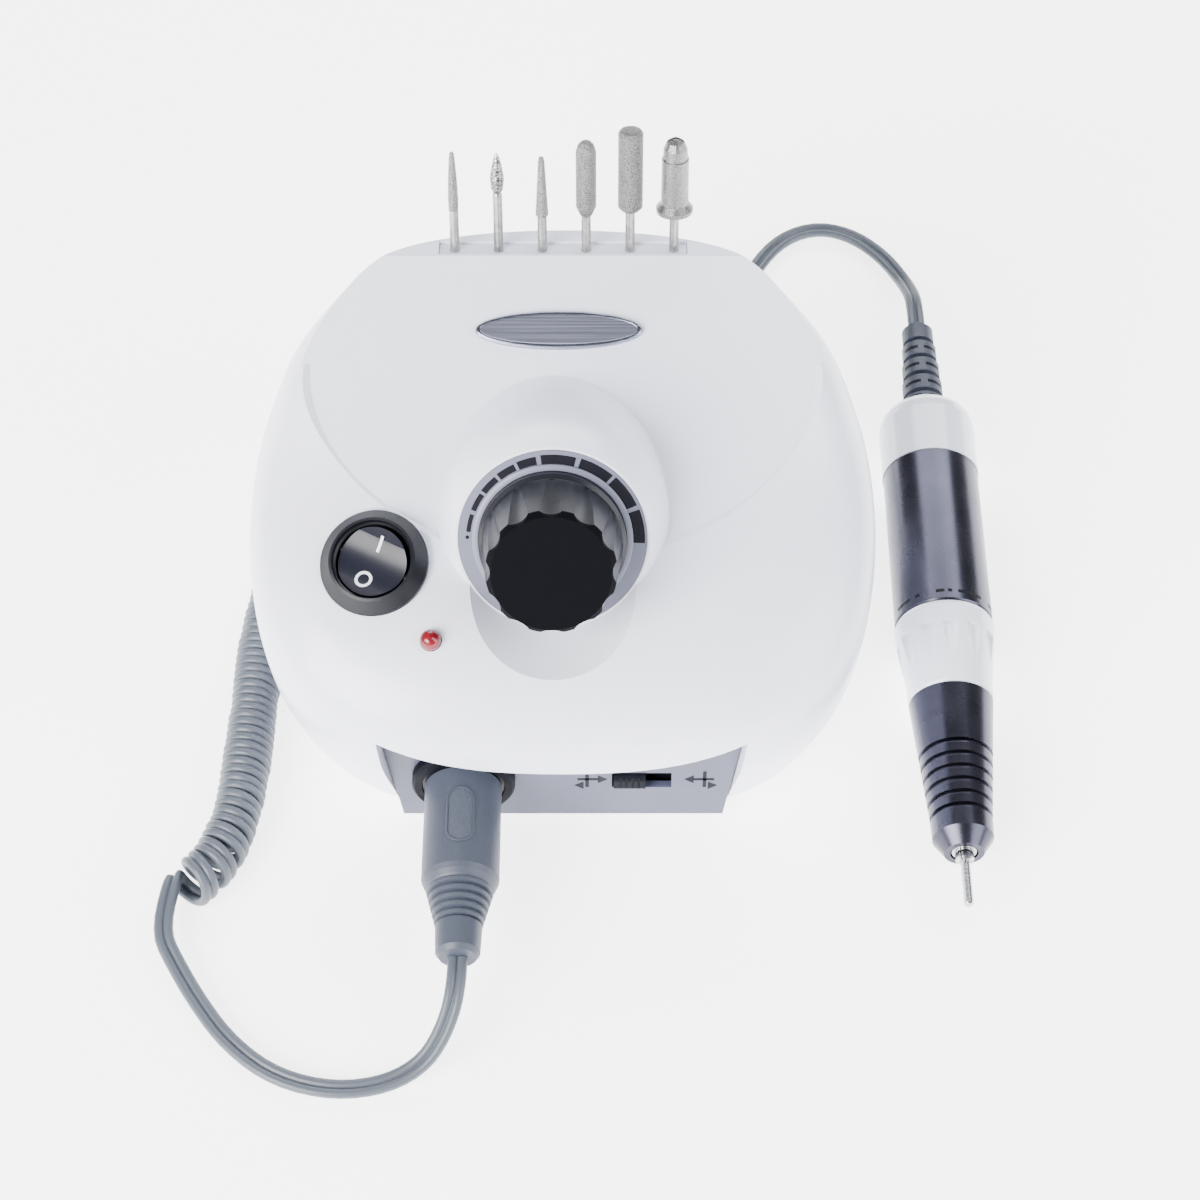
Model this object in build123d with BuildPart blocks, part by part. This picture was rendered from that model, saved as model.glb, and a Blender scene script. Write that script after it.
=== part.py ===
"""Electric nail drill: a control box, its handpiece on a curly cord, and six bits in the rack.

Millimetres, +Z up.  The origin is on the table under the middle of the box and the handpiece.
Positions are given in the box's own frame (X across, Y from the front panel to the back,
Z up from the table) and at() moves them to the origin of the whole part.
"""

import os
from math import cos, pi, radians, sin, tan

from build123d import *

os.makedirs("parts", exist_ok=True)

# ---------------------------------------------------------------- driving dimensions

# Housing: height, half width, front, back and widest Y of each plan section.
housing_levels = (
    (3.0, 66.5, 1.5, 112.0, 60.0),
    (14.0, 70.4, -3.9, 117.0, 60.0),
    (26.0, 73.4, -7.8, 119.8, 60.0),
    (38.0, 75.4, -8.7, 120.5, 60.0),
    (50.0, 76.4, -1.6, 120.8, 60.5),
    (60.0, 75.0, 14.6, 120.2, 66.0),
    (70.0, 70.4, 44.0, 118.6, 76.0),
    (80.0, 64.0, 62.0, 118.8, 82.0),
    (92.0, 55.0, 77.0, 118.2, 87.0),
)
housing_width = 76.4
section_points = 28
front_power = 3.2
back_power = 2.03
wall = 2.6
split_y = 107.0
seam = 0.15

# Sloped deck, and the rear strip that leans the other way.
ridge = (107.0, 90.0)
deck_slope = 19.0
strip_lean = 14.0
deck_centre_y = 79.0
deck_half_width = 61.3
deck_half_depth = 46.0

# Front panel in its recess.
panel_thickness = 2.0
panel_bottom = 3.2
panel_top = 40.0
panel_top_middle = 34.5
panel_half_top = 44.0
panel_half_bottom = 39.6
panel_gap = 0.2
panel_window = (76.0, 27.0)

# Name plate, left blank.
badge_half_size = (20.35, 5.0)

# Speed dial.
dial_centre = (-2.0, 31.0, 73.6)
dial_rise = 30.0
pod_radius = 22.9
pod_shoulder = (26.2, 6.0)
pod_side = (27.7, 16.0)
pod_foot = (28.2, 44.0)
scoop_radius = 22.7
scoop_flare = 28.0
scoop_depth = 26.0
dial_radius = 22.2
knob_base_radius = 17.4
knob_face_radius = 14.8
knob_start = 1.0
knob_end = 21.5
knob_flutes = 12
pot_shaft_radius = 3.0

# Power rocker.
switch_centre = (-44.3, 30.9, 64.3)
switch_normal = (-0.12, -0.36, 0.925)
switch_turn = 29.0
bezel_radius = 13.0
rocker_radius = 8.3
rocker_tilt = 6.0
rocker_half_height = 3.2
rocker_dish_radius = 12.2
rocker_dish_centre = 14.0
rocker_pin_radius = 1.0
rocker_pin_length = 20.8
bezel_gap = 0.15

# Indicator lamp.
lamp_centre = (-30.6, 12.6, 58.4)
lamp_normal = (-0.05, -0.42, 0.906)
lamp_radius = 2.5

# Handpiece socket and plug.
jack_place = (-24.0, 19.6)
jack_nut_radius = 12.5
plug_radius = 9.3
plug_shoulder = 29.5
plug_rib_start = 32.4
plug_rib_pitch = 1.95
plug_rib_radii = (8.0, 7.5, 7.0, 6.5, 6.0)
plug_groove_depth = 1.1
plug_collar_radius = 5.3
plug_end = -50.3

# Rear fittings: half width and height range of their flat, its Y, and their height.
rear_flat = (42.0, 13.0, 37.0)
rear_y = 110.0
rear_z = 25.0
pedal_x = 27.0
fuse_x = -27.0
pedal_bore = 3.2

# Direction slide switch.
slide_place = (19.25, 18.2)
slide_window = (14.5, 6.2)
slider_width = 7.8
slider_travel = 5.6

# Bits: head profile is (distance above the rack, radius) pairs.
bit_shank_radius = 1.175
bit_sunk = 14.0
bit_pitch = 10.8
bit_first_x = -26.7
bit_clearance = 0.06
rack_size = (61.0, 5.4, 17.0)
rack_y = 110.4

# Handpiece, lying along Y.
hand_x = 97.0
hand_z = 12.8
hand_radius = 12.8
tip_y = -32.0
pin_out = 12.0
collet_out = 2.4
nose_length = 43.5
grip_length = 24.0
sleeve_length = 49.5
cap_length = 21.5
relief_base = 5.0
relief_base_radius = 5.75
relief_neck_radius = 2.9
relief_gap = 1.7
relief_pitch = 6.5
relief_radii = (5.4, 5.05, 4.65, 4.25)
running_gap = 0.05
face_gap = 0.2

# Cord.
cord_radius = 2.8
coil_radius = 6.3

# ---------------------------------------------------------------- derived places

collet_y = tip_y + pin_out
nose_y = collet_y + collet_out
grip_y = nose_y + nose_length
sleeve_y = grip_y + grip_length
cap_y = sleeve_y + sleeve_length
flange_y = cap_y + cap_length
relief_y = flange_y + 1.3
tail_y = relief_y + relief_base + relief_pitch * len(relief_radii)

shift_x = -(hand_x + hand_radius - housing_width) / 2
shift_y = -(tip_y + tail_y) / 2


def at(x, y, z):
    """Move a place in the box's frame to the part's origin."""
    return (x + shift_x, y + shift_y, z)


def level(z):
    """Horizontal sketch plane of the box at one height."""
    return Plane(origin=at(0, 0, z))


deck_plane = Plane(
    origin=at(0, ridge[0], ridge[1]),
    x_dir=(1, 0, 0),
    z_dir=(0, -sin(radians(deck_slope)), cos(radians(deck_slope))),
)
strip_plane = Plane(
    origin=at(0, ridge[0], ridge[1]),
    x_dir=(1, 0, 0),
    z_dir=(0, sin(radians(strip_lean)), cos(radians(strip_lean))),
)
rack_plane = strip_plane.offset(-0.6)
rack_plane.origin = rack_plane.origin + strip_plane.y_dir * (rack_y - ridge[0])
dial_plane = Plane(
    origin=at(*dial_centre),
    x_dir=(1, 0, 0),
    z_dir=(0, -cos(radians(dial_rise)), sin(radians(dial_rise))),
)
switch_seat = Plane(
    origin=at(*switch_centre),
    x_dir=(1, 0, -switch_normal[0] / switch_normal[2]),
    z_dir=switch_normal,
)
switch_plane = Plane(switch_seat.location * Rotation(0, 0, -switch_turn))
rocker_plane = Plane(switch_plane.location * Rotation(rocker_tilt, 0, 0))
rocker_pin_plane = Plane(origin=rocker_plane.origin, x_dir=rocker_plane.y_dir, z_dir=rocker_plane.x_dir)
rocker_dish_plane = Plane(
    origin=rocker_plane.origin + rocker_plane.z_dir * rocker_dish_centre,
    x_dir=rocker_plane.y_dir,
    z_dir=rocker_plane.x_dir,
)
lamp_plane = Plane(origin=at(*lamp_centre), z_dir=lamp_normal)
panel_plane = Plane(origin=at(0, 0, 0), x_dir=(1, 0, 0), z_dir=(0, -1, 0))
jack_plane = Plane(origin=at(jack_place[0], 0, jack_place[1]), x_dir=(1, 0, 0), z_dir=(0, -1, 0))
slide_plane = Plane(origin=at(slide_place[0], 0, slide_place[1]), x_dir=(1, 0, 0), z_dir=(0, -1, 0))
hand_plane = Plane(origin=at(hand_x, 0, hand_z), x_dir=(0, 1, 0), z_dir=(1, 0, 0))
hand_axis = Axis(at(hand_x, 0, hand_z), (0, 1, 0))

# ---------------------------------------------------------------- shared shapes


def outline_point(angle, half_width, front, back, middle):
    """Point of a plan section: a squarish curve in front, a round one behind."""
    power = front_power if sin(angle) < 0 else back_power
    reach = middle - front if sin(angle) < 0 else back - middle
    across = abs(cos(angle)) ** (2 / power)
    along = abs(sin(angle)) ** (2 / power)
    x = half_width * (across if cos(angle) > 0 else -across)
    y = middle + reach * (along if sin(angle) > 0 else -along)
    return (x, y)


def plan_section(z, half_width, front, back, middle, inset=0.0):
    """Face of the housing's plan at one height, drawn inwards by inset."""
    with BuildSketch(level(z)) as section:
        with BuildLine():
            points = []
            for step in range(section_points):
                angle = pi / 2 + 2 * pi * step / section_points
                points.append(
                    outline_point(angle, half_width - inset, front + inset, back - inset, middle)
                )
            Spline(*points, periodic=True)
        make_face()
    return section.sketch


def half_section(points, plane=hand_plane):
    """Face under a line of (along, radius) points, to be turned about the plane's X axis."""
    with BuildSketch(plane) as section:
        with BuildLine():
            Polyline(*points, close=True)
        make_face()
    return section.sketch


def turned(points, plane):
    """Face of (radius, height) points, to be turned about the plane's Z axis."""
    upright = Plane(origin=plane.origin, x_dir=plane.x_dir, z_dir=-plane.y_dir)
    return half_section(points, upright)


def spin_axis(plane):
    """Axis along a plane's normal, through its origin."""
    return Axis(plane.origin, plane.z_dir)


def corner_radii(points):
    """Largest tangent arc that the two runs at each corner of a route allow."""
    radii = []
    for before, corner, after in zip(points, points[1:], points[2:]):
        run_in = Vector(*corner) - Vector(*before)
        run_out = Vector(*after) - Vector(*corner)
        turn = radians(run_in.get_angle(run_out))
        radii.append(0.45 * min(run_in.length, run_out.length) / tan(turn / 2))
    return radii


def tube(points, radius, name):
    """Solid tube along straight runs joined by tangent arcs."""
    places = [at(*point) for point in points]
    radii = corner_radii(places)
    with BuildPart() as body:
        with BuildLine() as route:
            FilletPolyline(*places, radius=radii)
        start = Vector(*places[0])
        heading = Vector(*places[1]) - start
        with BuildSketch(Plane(origin=start, z_dir=heading)):
            Circle(radius)
        sweep(path=route.wires()[0])
    length = route.wires()[0].length
    print(name, "length", round(length, 1), "radii", [round(value, 1) for value in radii])
    print(name, "volume ratio", round(body.part.volume / (pi * radius**2 * length), 4))
    return body.part


def pod_outline(inset, start):
    """Turned outline of the dial's pod, drawn inwards by inset and begun below the dial."""
    with BuildSketch(Plane(origin=dial_plane.origin, x_dir=dial_plane.x_dir, z_dir=-dial_plane.y_dir)) as pod:
        with BuildLine():
            rim = (pod_radius - inset, -start)
            shoulder = (pod_shoulder[0] - inset, -start - pod_shoulder[1])
            side = (pod_side[0] - inset, -pod_side[1])
            foot = (pod_foot[0] - inset, -pod_foot[1])
            Line((0, -start), rim)
            ThreePointArc(rim, shoulder, side)
            Line(side, foot)
            Line(foot, (0, -pod_foot[1]))
            Line((0, -pod_foot[1]), (0, -start))
        make_face()
    return pod.sketch


screw_places = ((-61, 45), (61, 45), (-53, 86), (53, 86))

# ---------------------------------------------------------------- housing

with BuildPart() as cavity:
    loft([plan_section(*values, inset=wall) for values in housing_levels])
    split(bisect_by=deck_plane.offset(-wall), keep=Keep.BOTTOM)
    split(bisect_by=strip_plane.offset(-wall), keep=Keep.BOTTOM)
    revolve(pod_outline(wall, 3.0), axis=spin_axis(dial_plane))
    with Locations(at(0, -20 + (panel_thickness + wall) / 2, (panel_top + wall) / 2)):
        Box(
            2 * (panel_half_top + wall),
            40 + panel_thickness + wall,
            panel_top + wall,
            mode=Mode.SUBTRACT,
        )
    with Locations(dial_plane.offset(-3 + (scoop_depth + 3) / 2)):
        Cone(
            scoop_radius + wall,
            scoop_radius + wall + scoop_depth * tan(radians(scoop_flare)),
            scoop_depth + 3,
            mode=Mode.SUBTRACT,
        )
    with Locations(at(0, rear_y + 20 - wall / 2, (rear_flat[1] + rear_flat[2]) / 2)):
        Box(
            2 * (rear_flat[0] + wall),
            40 + wall,
            rear_flat[2] - rear_flat[1] + 2 * wall,
            mode=Mode.SUBTRACT,
        )
    with Locations(*[at(x, y, 18) for x, y in screw_places]):
        Cylinder(4.2, 24.8, mode=Mode.SUBTRACT)

deck_local_y = (deck_centre_y - ridge[0]) / cos(radians(deck_slope))
cut_height = 30.0

with BuildPart() as deck_cutter:
    with BuildSketch(deck_plane):
        with Locations((0, deck_local_y)):
            Ellipse(deck_half_width, deck_half_depth / cos(radians(deck_slope)))
    with BuildSketch(deck_plane.offset(cut_height)):
        with Locations((0, deck_local_y)):
            Ellipse(deck_half_width + 1.4 * cut_height, deck_half_depth + 1.4 * cut_height)
    loft()
    with Locations(deck_plane.offset(cut_height / 2)):
        with Locations((0, deck_local_y + 60)):
            Box(200, 120, cut_height)

with BuildPart() as case:
    loft([plan_section(*values) for values in housing_levels])
    add(deck_cutter.part, mode=Mode.SUBTRACT)
    split(bisect_by=strip_plane, keep=Keep.BOTTOM)
    revolve(pod_outline(0.0, 0.0), axis=spin_axis(dial_plane))
    with BuildSketch(panel_plane.offset(-panel_thickness)):
        with BuildLine():
            Polyline(
                (-panel_half_top, panel_top),
                (-panel_half_bottom, 0),
                (panel_half_bottom, 0),
                (panel_half_top, panel_top),
            )
            ThreePointArc((panel_half_top, panel_top), (0, panel_top_middle), (-panel_half_top, panel_top))
        make_face()
    extrude(amount=40, mode=Mode.SUBTRACT)
    with Locations(dial_plane.offset(scoop_depth / 2)):
        Cone(
            scoop_radius,
            scoop_radius + scoop_depth * tan(radians(scoop_flare)),
            scoop_depth,
            mode=Mode.SUBTRACT,
        )
    with Locations(switch_plane.offset(6)):
        Cylinder(bezel_radius + bezel_gap, 12, mode=Mode.SUBTRACT)
    with Locations(at(0, rear_y + 20, (rear_flat[1] + rear_flat[2]) / 2)):
        Box(2 * rear_flat[0], 40, rear_flat[2] - rear_flat[1], mode=Mode.SUBTRACT)
    add(cavity.part, mode=Mode.SUBTRACT)
    with Locations(at(0, panel_thickness + wall / 2, panel_window[1] / 2 + 6)):
        Box(panel_window[0], wall + 1, panel_window[1], mode=Mode.SUBTRACT)
    with Locations(dial_plane.offset(-0.4)):
        Cylinder(dial_radius + 0.1, 0.8, mode=Mode.SUBTRACT)
    with Locations(dial_plane.offset(-1.5)):
        Cylinder(4.0, 6, mode=Mode.SUBTRACT)
    with Locations(switch_plane.offset(-4.5)):
        Cylinder(bezel_radius + bezel_gap, 9)
    with Locations(switch_plane.offset(-6)):
        Cylinder(11.1, 30, mode=Mode.SUBTRACT)
    with Locations(lamp_plane.offset(-2)):
        Cylinder(lamp_radius + 0.12, 24, mode=Mode.SUBTRACT)
    with Locations(rack_plane.offset(-8)):
        Box(rack_size[0] + 0.3, rack_size[1] + 0.3, 24, mode=Mode.SUBTRACT)
    with Locations(*[at(x, y, 12) for x, y in screw_places]):
        Cylinder(1.35, 16, mode=Mode.SUBTRACT)

with BuildPart() as dial_pod:
    add(case.part)
    revolve(pod_outline(0.0, 0.0), axis=spin_axis(dial_plane), mode=Mode.INTERSECT)
    dial_pod.part.label = "dial_pod"
export_step(dial_pod.part, "parts/dial_pod.step")

with BuildPart() as front_shell:
    add(case.part)
    split(bisect_by=Plane(origin=at(0, split_y - seam, 0), z_dir=(0, -1, 0)), keep=Keep.TOP)
    revolve(pod_outline(0.0, 0.0), axis=spin_axis(dial_plane), mode=Mode.SUBTRACT)
    front_shell.part.label = "front_shell"
export_step(front_shell.part, "parts/front_shell.step")

with BuildPart() as rear_shell:
    add(case.part)
    split(bisect_by=Plane(origin=at(0, split_y + seam, 0), z_dir=(0, 1, 0)), keep=Keep.TOP)
    for fitting_x, hole_radius in ((pedal_x, 3.6), (0, 6.1), (fuse_x, 5.1)):
        with Locations(Plane(origin=at(fitting_x, rear_y, rear_z), z_dir=(0, 1, 0))):
            Cylinder(hole_radius, 12, mode=Mode.SUBTRACT)
    with Locations(at(0, 118, 56)):
        with GridLocations(7, 1, 9, 1):
            Box(2.4, 14, 22, mode=Mode.SUBTRACT)
    rear_shell.part.label = "rear_shell"
export_step(rear_shell.part, "parts/rear_shell.step")

with BuildPart() as base_plate:
    extrude(plan_section(*housing_levels[0], inset=wall + 0.8), amount=2.5)
    with Locations(at(0, 62, 4.25)):
        with GridLocations(10, 40, 7, 2):
            Box(3, 22, 4, mode=Mode.SUBTRACT)
    with Locations(*[at(x, y, 4) for x, y in screw_places]):
        Cylinder(1.7, 6, mode=Mode.SUBTRACT)
    base_plate.part.label = "base_plate"
export_step(base_plate.part, "parts/base_plate.step")

with BuildPart() as feet:
    with Locations(*[at(x, y, 1.5) for x, y in ((-46, 24), (46, 24), (-38, 94), (38, 94))]):
        Cylinder(6, 3)
    feet.part.label = "feet"
export_step(feet.part, "parts/feet.step")

with BuildPart() as base_screws:
    with Locations(*[at(x, y, 10) for x, y in screw_places]):
        Cylinder(1.3, 16)
    with Locations(*[at(x, y, 2) for x, y in screw_places]):
        Cylinder(2.8, 1.9)
    base_screws.part.label = "base_screws"
export_step(base_screws.part, "parts/base_screws.step")

with BuildPart() as front_panel:
    with BuildSketch(panel_plane):
        with BuildLine():
            Polyline(
                (-panel_half_top + panel_gap, panel_top - panel_gap),
                (-panel_half_bottom + panel_gap, panel_bottom),
                (panel_half_bottom - panel_gap, panel_bottom),
                (panel_half_top - panel_gap, panel_top - panel_gap),
            )
            ThreePointArc(
                (panel_half_top - panel_gap, panel_top - panel_gap),
                (0, panel_top_middle - panel_gap),
                (-panel_half_top + panel_gap, panel_top - panel_gap),
            )
        make_face()
        with Locations(jack_place):
            Circle(10.2, mode=Mode.SUBTRACT)
        with Locations(slide_place):
            Rectangle(*slide_window, mode=Mode.SUBTRACT)
    extrude(amount=-(panel_thickness - 0.1))
    front_panel.part.label = "front_panel"
export_step(front_panel.part, "parts/front_panel.step")

with BuildPart() as badge:
    with BuildSketch(deck_plane.offset(0.02)):
        with Locations((-0.9, (87.8 - ridge[0]) / cos(radians(deck_slope)))):
            Ellipse(*badge_half_size)
    extrude(amount=1.2)
    chamfer(badge.edges().group_by(Axis.Z)[-1], length=0.4)
    badge.part.label = "badge"
export_step(badge.part, "parts/badge.step")

# ---------------------------------------------------------------- bit rack and bits

bit_places = [(bit_first_x + bit_pitch * index, 0) for index in range(6)]

with BuildPart() as bit_rack:
    with Locations(rack_plane.offset(-rack_size[2] / 2)):
        Box(*rack_size)
    with Locations(rack_plane):
        with Locations(*bit_places):
            Hole(bit_shank_radius + bit_clearance, bit_sunk + 1)
    bit_rack.part.label = "bit_rack"
export_step(bit_rack.part, "parts/bit_rack.step")

bit_heads = {
    "bit_needle": ((11.5, 1.175), (14.0, 1.28), (20.0, 1.1), (25.6, 0.75), (27.2, 0.55), (27.6, 0.2)),
    "bit_flame": ((16.4, 1.0), (17.5, 1.5), (20.5, 1.78), (24.0, 1.2), (26.4, 0.6), (27.1, 0.2)),
    "bit_cone": ((10.0, 1.3), (10.2, 1.6), (24.9, 0.8), (26.0, 0.6), (26.3, 0.2)),
    "bit_barrel": ((10.4, 1.6), (12.6, 2.5), (27.6, 2.5), (29.4, 2.0), (30.3, 1.2), (30.6, 0.4)),
    "bit_cylinder": ((11.6, 2.2), (12.6, 3.05), (32.6, 3.05), (33.3, 2.6), (33.5, 1.5)),
    "bit_band": (
        (10.4, 3.2), (11.2, 4.5), (12.2, 4.55), (13.6, 3.4), (25.8, 3.3), (25.8, 3.05), (28.6, 2.9),
        (30.4, 2.1), (31.3, 0.8),
    ),
}


def bit_section(x, head):
    """Half outline of one bit: shank from the rack's floor, then its head."""
    upright = Plane(origin=rack_plane.origin + Vector(x, 0, 0), x_dir=rack_plane.z_dir, z_dir=(1, 0, 0))
    shank = [(-bit_sunk, 0), (-bit_sunk, bit_shank_radius), (head[0][0] - 0.6, bit_shank_radius)]
    return half_section(shank + list(head) + [(head[-1][0], 0)], upright)


for (bit_name, bit_head), (bit_x, _) in zip(bit_heads.items(), bit_places):
    with BuildPart() as bit:
        bit_line = Axis(rack_plane.origin + Vector(bit_x, 0, 0), rack_plane.z_dir)
        revolve(bit_section(bit_x, bit_head), axis=bit_line)
        if bit_name == "bit_band":
            with Locations(rack_plane.offset(31.0)):
                with Locations((bit_x, 0)):
                    Box(7, 0.7, 2.4, mode=Mode.SUBTRACT)
        bit.part.label = bit_name
    export_step(bit.part, f"parts/{bit_name}.step")

# ---------------------------------------------------------------- speed dial

with BuildPart() as dial_plate:
    revolve(
        turned(((4.0, -0.7), (dial_radius, -0.7), (dial_radius, 0.2), (4.0, 0.2)), dial_plane),
        axis=spin_axis(dial_plane),
    )
    dial_plate.part.label = "dial_plate"
export_step(dial_plate.part, "parts/dial_plate.step")

with BuildPart() as speed_knob:
    knob_outline = (
        (0, knob_start + 5),
        (7.5, knob_start + 5),
        (7.5, knob_start),
        (knob_base_radius, knob_start),
        (knob_base_radius, knob_start + 1.8),
        (knob_base_radius - 0.9, knob_start + 2.6),
        (knob_face_radius + 0.4, knob_end - 1.4),
        (knob_face_radius - 0.9, knob_end),
        (0, knob_end),
    )
    revolve(turned(knob_outline, dial_plane), axis=spin_axis(dial_plane))
    with Locations(dial_plane.offset((knob_start + 2.8 + knob_end + 0.1) / 2)):
        with PolarLocations(18.6, knob_flutes):
            Cone(2.3, 4.7, knob_end + 0.1 - knob_start - 2.8, mode=Mode.SUBTRACT)
    with Locations(dial_plane.offset(knob_start + 8)):
        Cylinder(pot_shaft_radius + 0.03, 10, mode=Mode.SUBTRACT)
    speed_knob.part.label = "speed_knob"
export_step(speed_knob.part, "parts/speed_knob.step")

with BuildPart() as pot_shaft:
    with Locations(dial_plane.offset(1.8)):
        Cylinder(pot_shaft_radius, 19.6)
    pot_shaft.part.label = "pot_shaft"
export_step(pot_shaft.part, "parts/pot_shaft.step")

with BuildPart() as pot_body:
    pot_outline = (
        (0, -17.0),
        (8.0, -17.0),
        (8.0, -8.6),
        (3.9, -8.6),
        (3.9, 4.4),
        (pot_shaft_radius + 0.05, 4.4),
        (pot_shaft_radius + 0.05, -8.2),
        (0, -8.2),
    )
    revolve(turned(pot_outline, dial_plane), axis=spin_axis(dial_plane))
    with Locations(dial_plane.offset(-12.5)):
        with Locations((0, -9)):
            Box(13, 6, 1.4)
    pot_body.part.label = "speed_potentiometer"
export_step(pot_body.part, "parts/speed_potentiometer.step")

# ---------------------------------------------------------------- power rocker and lamp

with BuildPart() as switch_bezel:
    bezel_outline = (
        (rocker_radius + 0.7, -8.0),
        (11.0, -8.0),
        (11.0, 0.1),
        (bezel_radius, 0.1),
        (bezel_radius, 1.2),
        (bezel_radius - 2.6, 3.8),
        (rocker_radius + 1.4, 4.0),
        (rocker_radius + 1.2, 2.6),
        (rocker_radius + 0.7, 2.2),
    )
    revolve(turned(bezel_outline, switch_plane), axis=spin_axis(switch_plane))
    with Locations(rocker_pin_plane):
        Cylinder(rocker_pin_radius + 0.15, rocker_pin_length + 2, mode=Mode.SUBTRACT)
    switch_bezel.part.label = "switch_bezel"
export_step(switch_bezel.part, "parts/switch_bezel.step")

with BuildPart() as power_rocker:
    with BuildSketch(rocker_plane.offset(-rocker_half_height)):
        Circle(rocker_radius)
    extrude(amount=2 * rocker_half_height)
    with Locations(rocker_dish_plane):
        Cylinder(rocker_dish_radius, 40, mode=Mode.SUBTRACT)
    with Locations(rocker_pin_plane):
        Cylinder(rocker_pin_radius, rocker_pin_length)
    power_rocker.part.label = "power_rocker"
export_step(power_rocker.part, "parts/power_rocker.step")

with BuildPart() as switch_body:
    with Locations(switch_plane.offset(-14.5)):
        Cylinder(10.4, 12)
    with Locations(switch_plane.offset(-23)):
        with Locations((-4, 0), (4, 0)):
            Box(0.8, 4.8, 5)
    switch_body.part.label = "switch_body"
export_step(switch_body.part, "parts/switch_body.step")

with BuildPart() as lamp:
    lamp_outline = [(0, -6.5), (2.9, -6.5), (2.9, -5.6), (lamp_radius, -5.6), (lamp_radius, 1.2)]
    for step in range(1, 7):
        lamp_outline.append(
            (lamp_radius * cos(radians(15 * step)), 1.2 + lamp_radius * sin(radians(15 * step)))
        )
    revolve(turned(lamp_outline, lamp_plane), axis=spin_axis(lamp_plane))
    lamp.part.label = "lamp"
export_step(lamp.part, "parts/lamp.step")

# ---------------------------------------------------------------- front panel fittings

with BuildPart() as jack_nut:
    nut_outline = ((10.05, 0.05), (jack_nut_radius, 0.05), (jack_nut_radius, 2.2), (11.8, 3.0), (10.05, 3.0))
    revolve(turned(nut_outline, jack_plane), axis=spin_axis(jack_plane))
    jack_nut.part.label = "jack_nut"
export_step(jack_nut.part, "parts/jack_nut.step")

with BuildPart() as jack_body:
    with Locations(jack_plane.offset(-9.5)):
        Cylinder(9.9, 24)
    with Locations(jack_plane.offset(-4.0)):
        Cylinder(11.8, 3.2)
    with Locations(jack_plane.offset(-2)):
        Cylinder(7.2, 12, mode=Mode.SUBTRACT)
    jack_body.part.label = "handpiece_jack"
export_step(jack_body.part, "parts/handpiece_jack.step")

with BuildPart() as plug_body:
    plug_outline = [(7.0, -3.6), (7.0, 3.2), (plug_radius, 3.2), (plug_radius, plug_shoulder)]
    plug_outline += [(plug_radius - 0.5, plug_shoulder + 1.3), (plug_rib_radii[0] + 0.2, plug_rib_start - 0.5)]
    for index, rib_radius in enumerate(plug_rib_radii):
        rib_start = plug_rib_start + plug_rib_pitch * index
        plug_outline += [
            (rib_radius - 0.2, rib_start),
            (rib_radius, rib_start + 0.5),
            (rib_radius - 0.2, rib_start + plug_rib_pitch - 0.7),
            (rib_radius - plug_groove_depth, rib_start + plug_rib_pitch - 0.55),
            (rib_radius - plug_groove_depth, rib_start + plug_rib_pitch - 0.1),
        ]
    collar_start = plug_rib_start + plug_rib_pitch * len(plug_rib_radii)
    plug_outline += [(plug_collar_radius + 0.3, collar_start), (plug_collar_radius, -plug_end - 1.2)]
    plug_outline += [(plug_collar_radius - 0.9, -plug_end), (0, -plug_end)]
    plug_outline += [(0, -3.6)]
    revolve(turned(plug_outline, jack_plane), axis=spin_axis(jack_plane))
    plug_body.part.label = "handpiece_plug"
export_step(plug_body.part, "parts/handpiece_plug.step")

with BuildPart() as plug_pins:
    with Locations(jack_plane.offset(-5.6)):
        with PolarLocations(3.2, 3):
            Cylinder(0.7, 4)
    plug_pins.part.label = "plug_pins"
export_step(plug_pins.part, "parts/plug_pins.step")

with BuildPart() as slide_body:
    with Locations(slide_plane.offset(-7.6)):
        Box(22, 11, 8)
    slide_body.part.label = "slide_switch_body"
export_step(slide_body.part, "parts/slide_switch_body.step")

with BuildPart() as direction_slider:
    with Locations(slide_plane.offset(-1)):
        with Locations((-(slide_window[0] - slider_width) / 2 + 0.4, 0)):
            Box(slider_width, slide_window[1] - 0.6, 4.8)
    fillet(direction_slider.edges().group_by(Axis.Y)[0].filter_by(Axis.X), radius=1.6)
    with Locations(slide_plane.offset(1.4)):
        with Locations((-(slide_window[0] - slider_width) / 2 + 0.4, 0)):
            with GridLocations(1.5, 1, 4, 1):
                Box(0.5, 8, 0.8, mode=Mode.SUBTRACT)
    direction_slider.part.label = "direction_slider"
export_step(direction_slider.part, "parts/direction_slider.step")

# ---------------------------------------------------------------- inside the box

with BuildPart() as transformer_core:
    with Locations(at(30, 62, 26.6)):
        Box(48, 18, 40)
        with Locations((-12, 0, 0), (12, 0, 0)):
            Box(8, 20, 24, mode=Mode.SUBTRACT)
    transformer_core.part.label = "transformer_core"
export_step(transformer_core.part, "parts/transformer_core.step")

with BuildPart() as transformer_coil:
    with Locations(at(30, 62, 26.6)):
        Box(31, 32, 23.4)
        Box(16.2, 18.2, 26, mode=Mode.SUBTRACT)
    transformer_coil.part.label = "transformer_coil"
export_step(transformer_coil.part, "parts/transformer_coil.step")

with BuildPart() as transformer_bracket:
    with Locations(at(30, 62, 6.05)):
        Box(62, 18, 1.0)
    with Locations(at(30 - 24.6, 62, 26.5), at(30 + 24.6, 62, 26.5)):
        Box(1.0, 18, 40.8)
    with Locations(at(30, 62, 47.2)):
        Box(50.2, 18, 1.0)
    transformer_bracket.part.label = "transformer_bracket"
export_step(transformer_bracket.part, "parts/transformer_bracket.step")

board_corners = [(x, y) for x in (-49, -9) for y in (42, 78)]

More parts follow.
